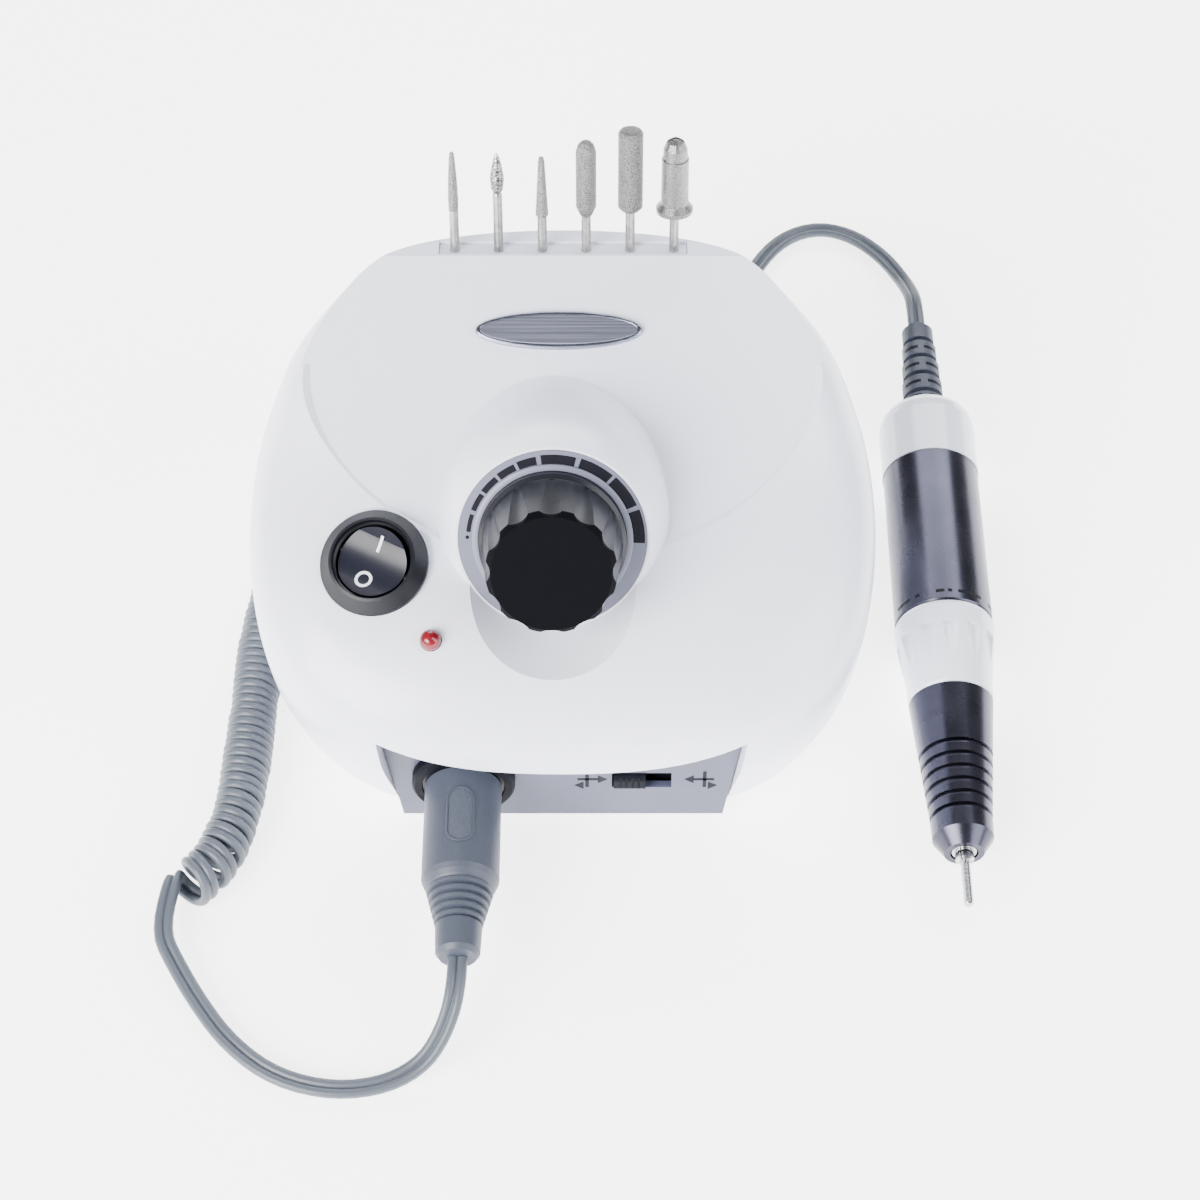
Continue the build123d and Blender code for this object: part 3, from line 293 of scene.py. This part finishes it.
FINISHES = {
    "front_shell": white_shell,
    "rear_shell": white_shell,
    "dial_pod": white_shell,
    "jack_nut": fitting_black,
    "direction_slider": fitting_black,
    "rear_cap": white_gloss,
    "lock_grip": white_gloss,
    "front_panel": panel_grey,
    "dial_plate": dial_grey,
    "bit_rack": rack_grey,
    "badge": badge_metal,
    "lamp": lamp_red,
    "speed_knob": knob_finish("knob_black", 20.2),
    "power_rocker": rocker_black,
    "feet": rubber_black,
    "handpiece_plug": plug_grey,
    "strain_relief": plug_grey,
    "motor_sleeve": gunmetal,
    "nose_cone": gunmetal,
    "collet": steel_along_y,
    "chuck_pin": steel_along_y,
    "circuit_board": board_green,
    "transformer_coil": copper,
    "transformer_core": lamination,
    "motor_rotor": lamination,
    "motor_can": steel_along_y,
    "motor_magnets": ferrite,
    "heat_sink": aluminium,
    "spindle": steel_along_y,
    "inner_barrel": steel_along_y,
    "front_bearing": steel_along_y,
    "rear_bearing": steel_along_y,
    "collet_spring": steel_along_y,
    "base_screws": zinc,
    "plug_pins": zinc,
    "pot_shaft": zinc,
    "potentiometer_nut": zinc,
    "transformer_bracket": zinc,
    "bit_needle": bit_finish("needle_bit", 11.5, (0.36, 0.35, 0.34), 0.45, 3600.0, 0.6, 0.85),
    "bit_flame": bit_finish("flame_bit", 16.4, (0.4, 0.39, 0.38), 0.25, 1600.0, 0.3, 1.0),
    "bit_cone": bit_finish("cone_bit", 10.2, (0.36, 0.35, 0.34), 0.45, 3600.0, 0.6, 0.85),
    "bit_barrel": bit_finish("barrel_bit", 10.4, (0.3, 0.295, 0.29), 0.5, 4200.0, 0.5, 0.8),
    "bit_cylinder": bit_finish("cylinder_bit", 11.6, (0.28, 0.275, 0.27), 0.45, 3800.0, 0.6, 0.85),
    "bit_band": bit_finish("band_bit", 10.4, (0.34, 0.33, 0.325), 0.3, 5200.0, 0.25, 0.95),
}

for node_name, cad_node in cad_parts.items():
    cad_node.data.materials.clear()
    cad_node.data.materials.append(FINISHES.get(node_name, black_satin))

# ---------------------------------------------------------------- camera and light

AIM = at(9.1, 46.0, 30.0)
ELEVATION = math.radians(53.0)
DISTANCE = 0.708

camera_data = bpy.data.cameras.new("camera")
camera_data.lens = 85.0
camera_data.sensor_width = 36.0
camera = bpy.data.objects.new("camera", camera_data)
camera.location = AIM + Vector((0.0, -math.cos(ELEVATION), math.sin(ELEVATION))) * DISTANCE
camera.rotation_euler = (math.pi / 2 - ELEVATION, 0.0, 0.0)
bpy.context.scene.collection.objects.link(camera)
bpy.context.scene.camera = camera


def softbox(name, place, size, power, color):
    """Large soft lamp aimed at the middle of the object."""
    data = bpy.data.lights.new(name, "AREA")
    data.shape = "RECTANGLE"
    data.size = size[0]
    data.size_y = size[1]
    data.energy = power
    data.color = color
    lamp = bpy.data.objects.new(name, data)
    lamp.location = place
    lamp.rotation_euler = (Vector((0.0, 0.0, 0.03)) - Vector(place)).to_track_quat("-Z", "Y").to_euler()
    bpy.context.scene.collection.objects.link(lamp)


softbox("key", (-0.95, -1.05, 0.85), (1.1, 1.1), 92.0, (1.0, 0.99, 0.98))
softbox("fill", (1.1, -0.5, 0.8), (0.8, 1.2), 24.0, (0.93, 0.95, 1.0))
softbox("back", (0.1, 1.1, 1.0), (1.6, 0.6), 26.0, (0.95, 0.97, 1.0))

world = bpy.data.worlds.new("studio")
world.use_nodes = True
world.node_tree.nodes["Background"].inputs["Color"].default_value = (0.93, 0.95, 1.0, 1.0)
world.node_tree.nodes["Background"].inputs["Strength"].default_value = 0.38
bpy.context.scene.world = world

floor_mesh = bpy.data.meshes.new("floor")
FLOOR_HALF = 4.0
floor_mesh.from_pydata(
    [(-FLOOR_HALF, -FLOOR_HALF, 0), (FLOOR_HALF, -FLOOR_HALF, 0), (FLOOR_HALF, FLOOR_HALF, 0),
     (-FLOOR_HALF, FLOOR_HALF, 0)],
    [],
    [(0, 1, 2, 3)],
)
floor = bpy.data.objects.new("floor", floor_mesh)
floor_paper = moulded("floor_paper", (0.93, 0.93, 0.935), 0.75, grain=300.0, tone=0.004)
floor_paper.node_tree.nodes["Principled BSDF"].inputs["Emission Color"].default_value = (1.0, 1.0, 1.0, 1.0)
floor_paper.node_tree.nodes["Principled BSDF"].inputs["Emission Strength"].default_value = 3.3
floor_mesh.materials.append(floor_paper)
bpy.context.scene.collection.objects.link(floor)

# ---------------------------------------------------------------- mesh helpers


def add_piece(name, vertices, faces, material, body="root", material_slot="black_plastic", smooth=True):
    """Make a mesh piece, give it a material and let it ride on a body."""
    mesh = bpy.data.meshes.new(name)
    mesh.from_pydata([tuple(v) for v in vertices], [], faces)
    shell = bmesh.new()
    shell.from_mesh(mesh)
    bmesh.ops.recalc_face_normals(shell, faces=shell.faces)
    shell.to_mesh(mesh)
    shell.free()
    mesh.materials.append(material)
    piece = bpy.data.objects.new(name, mesh)
    bpy.context.scene.collection.objects.link(piece)
    if smooth:
        for polygon in mesh.polygons:
            polygon.use_smooth = True
        mesh.set_sharp_from_angle(angle=math.radians(35.0))
    if body:
        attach(piece, body)
    return piece


def prism(outline, lift, seat, low, high):
    """Closed slab over an outline of (x, y) points; lift(x, y) is the surface under it."""
    count = len(outline)
    vertices = [seat.point(x, y, lift(x, y) + low) for x, y in outline]
    vertices += [seat.point(x, y, lift(x, y) + high) for x, y in outline]
    faces = [tuple(reversed(range(count))), tuple(range(count, 2 * count))]
    faces += [(i, (i + 1) % count, count + (i + 1) % count, count + i) for i in range(count)]
    return vertices, faces


def ring_slab(inner, outer, lift, seat, low, high, start=0.0, end=360.0, steps=48):
    """Closed slab over a ring or part of one."""
    whole = abs(end - start) >= 360.0
    columns = steps if whole else steps + 1
    vertices = []
    for step in range(columns):
        angle = math.radians(start + (end - start) * step / steps)
        for radius, height in ((inner, low), (outer, low), (outer, high), (inner, high)):
            x = radius * math.cos(angle)
            y = radius * math.sin(angle)
            vertices.append(seat.point(x, y, lift(x, y) + height))
    faces = []
    for step in range(steps):
        a = 4 * step
        b = 4 * ((step + 1) % columns)
        for i in range(4):
            faces.append((a + i, a + (i + 1) % 4, b + (i + 1) % 4, b + i))
    if not whole:
        faces += [(3, 2, 1, 0), tuple(4 * steps + i for i in range(4))]
    return vertices, faces


def joined(parts):
    """One vertex and face list from several."""
    vertices = []
    faces = []
    for part_vertices, part_faces in parts:
        offset = len(vertices)
        vertices += part_vertices
        faces += [tuple(offset + i for i in face) for face in part_faces]
    return vertices, faces


def level_surface(x, y):
    """A flat seat."""
    return 0.0


# ---------------------------------------------------------------- curly cord

TWIN_RADIUS = 1.2
TWIN_OFFSET = 1.17
COIL_TURNS = 45
OPEN_TURNS = 0.02
OPEN_REACH = 0.06
POINTS_PER_TURN = 14
COIL_MEAN_RADIUS = 5.0

plug_lead_route = (
    (-24.0, PLUG_END_Y, 19.6),
    (-24.0, -58.0, 19.0),
    (-26.8, -65.0, 12.0),
    (-32.0, -70.6, 5.4),
    (-41.5, -74.8, 2.9),
    (-54.0, -76.0, 2.9),
    (-67.5, -72.0, 2.9),
    (-78.5, -63.0, 2.9),
    (-86.5, -52.0, 2.9),
    (-92.3, -42.5, 3.8),
    (-96.4, -35.0, 5.6),
    (-96.7, -29.2, 6.4),
    (-92.9, -25.0, 6.4),
)
coil_route = (
    (-92.9, -25.0, 6.4),
    (-87.0, -20.0, 6.4),
    (-82.6, -12.0, 6.4),
    (-80.0, -1.0, 6.4),
    (-79.2, 10.0, 6.4),
    (-78.7, 21.0, 6.4),
    (-78.3, 33.0, 6.4),
    (-78.0, 45.0, 6.4),
    (-77.3, 56.0, 6.4),
    (-75.4, 68.0, 6.4),
    (-72.8, 80.0, 6.4),
    (-68.0, 94.0, 6.4),
    (-60.5, 109.0, 6.4),
    (-49.0, 124.0, 6.4),
    (-32.0, 134.5, 6.4),
    (-12.0, 137.5, 6.4),
    (8.0, 135.5, 6.4),
)
hand_lead_route = (
    (8.0, 135.5, 6.4),
    (18.4, 134.46, 6.4),
    (30.0, 137.5, 3.4),
    (40.0, 149.0, 2.9),
    (45.2, 166.0, 2.9),
    (52.0, 183.0, 2.9),
    (60.5, 196.5, 2.9),
    (71.5, 202.0, 2.9),
    (82.0, 199.0, 2.9),
    (90.5, 190.5, 2.9),
    (95.0, 180.0, 4.8),
    (96.8, 170.0, 9.4),
    (HAND_X, 161.8, HAND_Z),
    (HAND_X, TAIL_Y, HAND_Z),
)


def read_spline(points, resolution):
    """Points along the NURBS line that has the given control points."""
    data = bpy.data.curves.new("line", "CURVE")
    data.dimensions = "3D"
    spline = data.splines.new("NURBS")
    spline.points.add(len(points) - 1)
    for target, point in zip(spline.points, points):
        target.co = (*point, 1.0)
    spline.order_u = 3
    spline.use_endpoint_u = True
    spline.resolution_u = resolution
    carrier = bpy.data.objects.new("line", data)
    bpy.context.scene.collection.objects.link(carrier)
    bpy.context.view_layer.update()
    mesh = bpy.data.meshes.new_from_object(carrier)
    line = [vertex.co.copy() for vertex in mesh.vertices]
    bpy.data.meshes.remove(mesh)
    bpy.data.objects.remove(carrier)
    return line


def along(line, distances, wanted):
    """Point and direction on a line at a distance from its start."""
    low = 0
    high = len(distances) - 1
    while high - low > 1:
        middle = (low + high) // 2
        if distances[middle] <= wanted:
            low = middle
        else:
            high = middle
    share = (wanted - distances[low]) / max(1e-9, distances[high] - distances[low])
    return line[low].lerp(line[high], share), (line[high] - line[low]).normalized()


def lengths(line):
    """Distance from the start of a line to each of its points."""
    total = [0.0]
    for before, after in zip(line, line[1:]):
        total.append(total[-1] + (after - before).length)
    return total


def coil_points():
    """Control points of the helix round the coil's centreline, with the direction of the coil at each."""
    centre = read_spline([at(*point) for point in coil_route], 24)
    distances = lengths(centre)
    count = COIL_TURNS * POINTS_PER_TURN
    up = Vector((0, 0, 1))
    points = []
    for step in range(count + 1):
        share = step / count
        share += OPEN_TURNS * (1.0 - math.exp(-share / OPEN_REACH)) * (1.0 - share)
        wanted = distances[-1] * (0.012 + 0.976 * share)
        place, heading = along(centre, distances, wanted)
        side = heading.cross(up).normalized()
        angle = 2 * math.pi * step / POINTS_PER_TURN + math.pi
        loose = 1.0 + 0.035 * math.sin(step * 0.071) + 0.02 * math.sin(step * 0.19)
        radius = COIL_MEAN_RADIUS * min(1.03, loose) * MM
        offset = (side * math.cos(angle) + up * math.sin(angle)) * radius
        points.append((place + offset, heading))
    return points


def cord_control_points():
    """Whole cord from the handpiece to the plug: control points and the direction of the cord's width."""
    controls = []
    for point in reversed(hand_lead_route[2:]):
        controls.append((at(*point), None))
    for place, heading in reversed(coil_points()):
        controls.append((place, heading))
    for point in reversed(plug_lead_route[:-2]):
        controls.append((at(*point), None))
    return controls


def cord_mesh():
    """Twin cord: two round cores side by side, swept along the spline."""
    controls = cord_control_points()
    line = read_spline([place for place, _ in controls], 4)
    count = len(line)
    up = Vector((0, 0, 1))
    widths = []
    for index in range(count):
        before = line[max(0, index - 1)]
        after = line[min(count - 1, index + 1)]
        heading = (after - before).normalized()
        control = min(len(controls) - 1, int(round(index / (count - 1) * (len(controls) - 2) + 0.5)))
        wanted = controls[control][1]
        if wanted is None:
            wanted = heading.cross(up)
            if wanted.length < 0.2:
                wanted = Vector((1, 0, 0))
        wanted = wanted - wanted.dot(heading) * heading
        wanted.normalize()
        if widths and wanted.dot(widths[-1]) < 0:
            wanted = -wanted
        widths.append(wanted)
    for _ in range(10):
        smoother = []
        for index in range(count):
            total = widths[max(0, index - 1)] + widths[index] * 2 + widths[min(count - 1, index + 1)]
            smoother.append(total.normalized())
        widths = smoother
    section = []
    for side in (1, -1):
        for step in range(11):
            angle = math.radians(-156 + 312 * step / 10)
            section.append(
                (side * (TWIN_OFFSET + TWIN_RADIUS * math.cos(angle)), side * TWIN_RADIUS * math.sin(angle))
            )
    vertices = []
    faces = []
    for index, place in enumerate(line):
        before = line[max(0, index - 1)]
        after = line[min(count - 1, index + 1)]
        heading = (after - before).normalized()
        width = (widths[index] - widths[index].dot(heading) * heading).normalized()
        thickness = heading.cross(width)
        for across, through in section:
            vertices.append(place + (width * across + thickness * through) * MM)
    size = len(section)
    for index in range(count - 1):
        a = index * size
        b = a + size
        for i in range(size):
            faces.append((a + i, a + (i + 1) % size, b + (i + 1) % size, b + i))
    faces.append(tuple(reversed(range(size))))
    faces.append(tuple((count - 1) * size + i for i in range(size)))
    return vertices, faces, line


cord_vertices, cord_faces, cord_line = cord_mesh()
cord = add_piece("curly_cord", cord_vertices, cord_faces, cord_grey, body=None, material_slot="cord_grey")
cord_length = lengths(cord_line)[-1]
print("cord length", round(cord_length, 3))
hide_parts("cord_plug_lead", "cord_coil", "cord_hand_lead")
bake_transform(cord)

# ---------------------------------------------------------------- dial

marks = []
MARK_ANGLES = (168.0, 152.0, 137.0, 122.0, 107.0, 86.0, 60.0, 35.0, 9.0)
SHORT_MARKS = 5
SHORT_MARK = 6.4
LONG_MARK = 11.4
MARK_RADIUS = 20.3
MARK_SPREAD = 1.35
MARK_BOTTOM = 0.19
MARK_TOP = 0.28
DOT_ANGLE = math.radians(178)
DOT_RADIUS = 0.45
DOT_DISTANCE = 20.0
DOT_RISE = 0.6
DOT_POINTS = 16
for index, angle in enumerate(MARK_ANGLES):
    half = SHORT_MARK if index < SHORT_MARKS else LONG_MARK
    growth = index / (len(MARK_ANGLES) - 1)
    outer = MARK_RADIUS + MARK_SPREAD * growth
    inner = outer - 1.0 - 2.0 * growth
    ends = (angle - half, angle + half)
    marks.append(ring_slab(inner, outer, level_surface, dial, MARK_BOTTOM, MARK_TOP, *ends, 12))
dot = []
for step in range(DOT_POINTS):
    turn = step / 8 * math.pi
    dot_x = DOT_DISTANCE * math.cos(DOT_ANGLE) + DOT_RADIUS * math.cos(turn)
    dot.append((dot_x, DOT_RISE + DOT_RADIUS * math.sin(turn)))
marks.append(prism(dot, level_surface, dial, MARK_BOTTOM, MARK_TOP))
add_piece("dial_marks", *joined(marks), mark_and_shade_black, material_slot="black_plastic")

collar_profile = ((17.55, 0.19), (18.9, 0.19), (18.9, 0.75), (18.4, 1.05), (17.55, 1.05))


def turned_piece(profile, seat, steps=96):
    """Closed ring turned about a seat's normal from (radius, height) points."""
    vertices = []
    faces = []
    size = len(profile)
    for step in range(steps):
        angle = 2 * math.pi * step / steps
        for radius, height in profile:
            vertices.append(seat.point(radius * math.cos(angle), radius * math.sin(angle), height))
    for step in range(steps):
        a = step * size
        b = (step + 1) % steps * size
        for i in range(size):
            faces.append((a + i, a + (i + 1) % size, b + (i + 1) % size, b + i))
    return vertices, faces


add_piece("dial_collar", *turned_piece(collar_profile, dial), dial_grey, material_slot="panel_grey")

# ---------------------------------------------------------------- rocker marks

DISH_RADIUS = 12.2
DISH_CENTRE = 14.0


def dish(x, y):
    """Height of the rocker's dished face."""
    return DISH_CENTRE - math.sqrt(DISH_RADIUS**2 - y**2)


BAR_HALF_WIDTH = 0.35
BAR_STEPS = (2.6, 3.9, 5.2, 6.5)
bar = [(-BAR_HALF_WIDTH, BAR_STEPS[0])]
bar += [(BAR_HALF_WIDTH, y) for y in BAR_STEPS]
bar += [(-BAR_HALF_WIDTH, y) for y in reversed(BAR_STEPS[1:])]
on_mark = prism(bar, dish, rocker, -0.02, 0.07)
off_seat = Seat((0, 0, 0), rocker.x, rocker.z)
off_seat.origin = rocker.point(0, -4.6, 0)


def dish_at_off(x, y):
    """Height of the dished face round the lower mark."""
    return dish(x, y - 4.6)


off_mark = ring_slab(1.35, 2.05, dish_at_off, off_seat, -0.02, 0.07)
add_piece("rocker_marks", *joined([on_mark, off_mark]), mark_white, body="power_rocker")

# ---------------------------------------------------------------- direction marks on the panel


def arrow(x, z, direction):
    """Short arrow with a cross bar and a triangle, flat on the panel."""
    parts = [
        [(x - 3.4, z - 0.45), (x + 1.8, z - 0.45), (x + 1.8, z + 0.45), (x - 3.4, z + 0.45)],
        [(x + 1.6, z - 1.7), (x + 3.9, z), (x + 1.6, z + 1.7)],
        [(x - 1.5, z - 3.4), (x - 0.6, z - 3.4), (x - 0.6, z + 3.4), (x - 1.5, z + 3.4)],
        [(x - 4.2, z - 2.6), (x - 1.9, z - 4.3), (x - 1.9, z - 1.1)],
    ]
    flat = []
    for outline in parts:
        points = [(x + (px - x) * direction, pz) for px, pz in outline]
        flat.append(prism(points, level_surface, panel, -0.02, 0.06))
    return flat


add_piece("direction_marks", *joined(arrow(7.0, 18.6, 1) + arrow(33.5, 18.6, -1)), mark_and_shade_black, smooth=False)

# ---------------------------------------------------------------- grip pad on the plug

PLUG_RADIUS = 9.3
PAD_HALF_WIDTH = 3.5
PAD_LENGTH = 8.5
PAD_CENTRE = -16.5


def pad_outline(half_width, half_length, steps=12):
    """Obround outline: two half circles joined by straight sides."""
    points = []
    for end in (1, -1):
        for step in range(steps + 1):
            angle = math.pi * step / steps
            reach = half_length + half_width * math.sin(angle)
            points.append((half_width * math.cos(angle) * end, end * reach))
    return points


def barrel_height(x, y):
    """Height of the plug's round body above its axis."""
    return math.sqrt(PLUG_RADIUS**2 - x**2)


def pad_rim():
    """Thin raised bead round the pad."""
    outline = pad_outline(PAD_HALF_WIDTH, PAD_LENGTH / 2)
    vertices = []
    faces = []
    count = len(outline)
    for index, (x, y) in enumerate(outline):
        past_straight = 0.0 if abs(y) < PAD_LENGTH / 2 else math.copysign(PAD_LENGTH / 2, y) - y
        inward = Vector((-x, past_straight))
        inward.normalize()
        for offset, height in ((0.0, -0.1), (0.0, 0.25), (0.3, 0.38), (0.6, 0.25), (0.6, -0.1)):
            px = x + inward.x * offset
            py = y + inward.y * offset
            vertices.append(plug_top.point(px, PAD_CENTRE + py, barrel_height(px, py) + height))
    for index in range(count):
        a = index * 5
        b = (index + 1) % count * 5
        for i in range(5):
            faces.append((a + i, a + (i + 1) % 5, b + (i + 1) % 5, b + i))
    return vertices, faces


def pad_patch(rows=14, columns=8):
    """Rough pad inside the bead."""
    half_width = PAD_HALF_WIDTH - 0.35
    reach = PAD_LENGTH / 2 + half_width
    vertices = []
    faces = []
    for row in range(rows + 1):
        y = -reach + 2 * reach * row / rows
        past = max(0.0, abs(y) - PAD_LENGTH / 2)
        width = math.sqrt(max(0.04, half_width**2 - past**2))
        for column in range(columns + 1):
            x = width * (2 * column / columns - 1)
            vertices.append(plug_top.point(x, PAD_CENTRE + y, barrel_height(x, y) + 0.08))
    for row in range(rows):
        for column in range(columns):
            a = row * (columns + 1) + column
            faces.append((a, a + 1, a + columns + 2, a + columns + 1))
    return vertices, faces


add_piece("plug_pad_rim", *pad_rim(), plug_grey, material_slot="cord_grey")
add_piece("plug_pad", *pad_patch(), pad_grey, material_slot="cord_grey")

# ---------------------------------------------------------------- painted shade of the slots in the handpiece's strain relief

relief_seat = Seat((HAND_X, 0, HAND_Z), (1, 0, 0), (0, 0, 1))
SLOT_PLACES = ((123.6, 5.75), (129.1, 5.4), (135.6, 5.05), (142.1, 4.65))
SLOT_HEIGHT = 1.0
SLOT_ARCS = ((10.0, 64.0), (-64.0, -10.0), (116.0, 170.0), (190.0, 244.0))


def relief_slot_shade():
    """Painted shade: dark patches where the slots cross each segment, a pair above and a pair below."""
    parts = []
    steps = 8
    for start, radius in SLOT_PLACES:
        for low, high in SLOT_ARCS:
            vertices = []
            for step in range(steps + 1):
                angle = math.radians(low + (high - low) * step / steps)
                for rise, y in ((-0.3, 0.0), (-0.3, SLOT_HEIGHT), (0.04, SLOT_HEIGHT), (0.04, 0.0)):
                    reach = radius + rise
                    place = (reach * math.sin(angle), start + y, reach * math.cos(angle))
                    vertices.append(relief_seat.point(*place))
            faces = [(3, 2, 1, 0), tuple(4 * steps + i for i in range(4))]
            for step in range(steps):
                a = 4 * step
                for i in range(4):
                    faces.append((a + i, a + (i + 1) % 4, a + 4 + (i + 1) % 4, a + 4 + i))
            parts.append((vertices, faces))
    return joined(parts)


# These dark patches are painted shade standing in for the hollow slots, not print on the strain relief.
add_piece("strain_slot_shade", *relief_slot_shade(), mark_and_shade_black, body="handpiece")

# ---------------------------------------------------------------- marks round the handpiece sleeve

SLEEVE_RADIUS = 12.5
SLEEVE_MARK_Y = 52.3
SLEEVE_MARK_HEIGHT = 0.9
SLEEVE_DASHES = (
    (-72, -48), (-40, -34), (-14, -4), (0, 5), (12, 44), (60, 78), (110, 140), (155, 200), (215, 240),
)


def sleeve_dashes():
    """Short dark dashes in a row round the sleeve's front end."""
    parts = []
    for low, high in SLEEVE_DASHES:
        steps = max(2, (high - low) // 4)
        vertices = []
        for step in range(steps + 1):
            angle = math.radians(low + (high - low) * step / steps)
            for rise, y in ((-0.2, 0.0), (-0.2, SLEEVE_MARK_HEIGHT), (0.03, SLEEVE_MARK_HEIGHT), (0.03, 0.0)):
                reach = SLEEVE_RADIUS + rise
                place = (reach * math.sin(angle), SLEEVE_MARK_Y + y, reach * math.cos(angle))
                vertices.append(relief_seat.point(*place))
        faces = [(3, 2, 1, 0), tuple(4 * steps + i for i in range(4))]
        for step in range(steps):
            a = 4 * step
            for i in range(4):
                faces.append((a + i, a + (i + 1) % 4, a + 4 + (i + 1) % 4, a + 4 + i))
        parts.append((vertices, faces))
    return joined(parts)


add_piece("sleeve_marks", *sleeve_dashes(), mark_and_shade_black, body="handpiece")

# ---------------------------------------------------------------- bead round the badge

BADGE_X = -0.9
BADGE_Y = (87.8 - 107.0) / math.cos(DECK_SLOPE)
BEAD_HALF_WIDTH = 20.0
BEAD_HALF_DEPTH = 4.65


def badge_bead(steps=96):
    """Low rounded bead along the badge's edge."""
    profile = ((0.0, 1.15), (0.0, 1.3), (-0.25, 1.42), (-0.6, 1.42), (-0.85, 1.3), (-0.85, 1.15))
    vertices = []
    faces = []
    size = len(profile)
    for step in range(steps):
        angle = 2 * math.pi * step / steps
        for inset, height in profile:
            x = (BEAD_HALF_WIDTH + inset) * math.cos(angle) + BADGE_X
            y = (BEAD_HALF_DEPTH + inset) * math.sin(angle) + BADGE_Y
            vertices.append(deck.point(x, y, height))
    for step in range(steps):
        a = step * size
        b = (step + 1) % steps * size
        for i in range(size):
            faces.append((a + i, a + (i + 1) % size, b + (i + 1) % size, b + i))
    return vertices, faces


add_piece("badge_bead", *badge_bead(), badge_rim, material_slot="badge_metal")
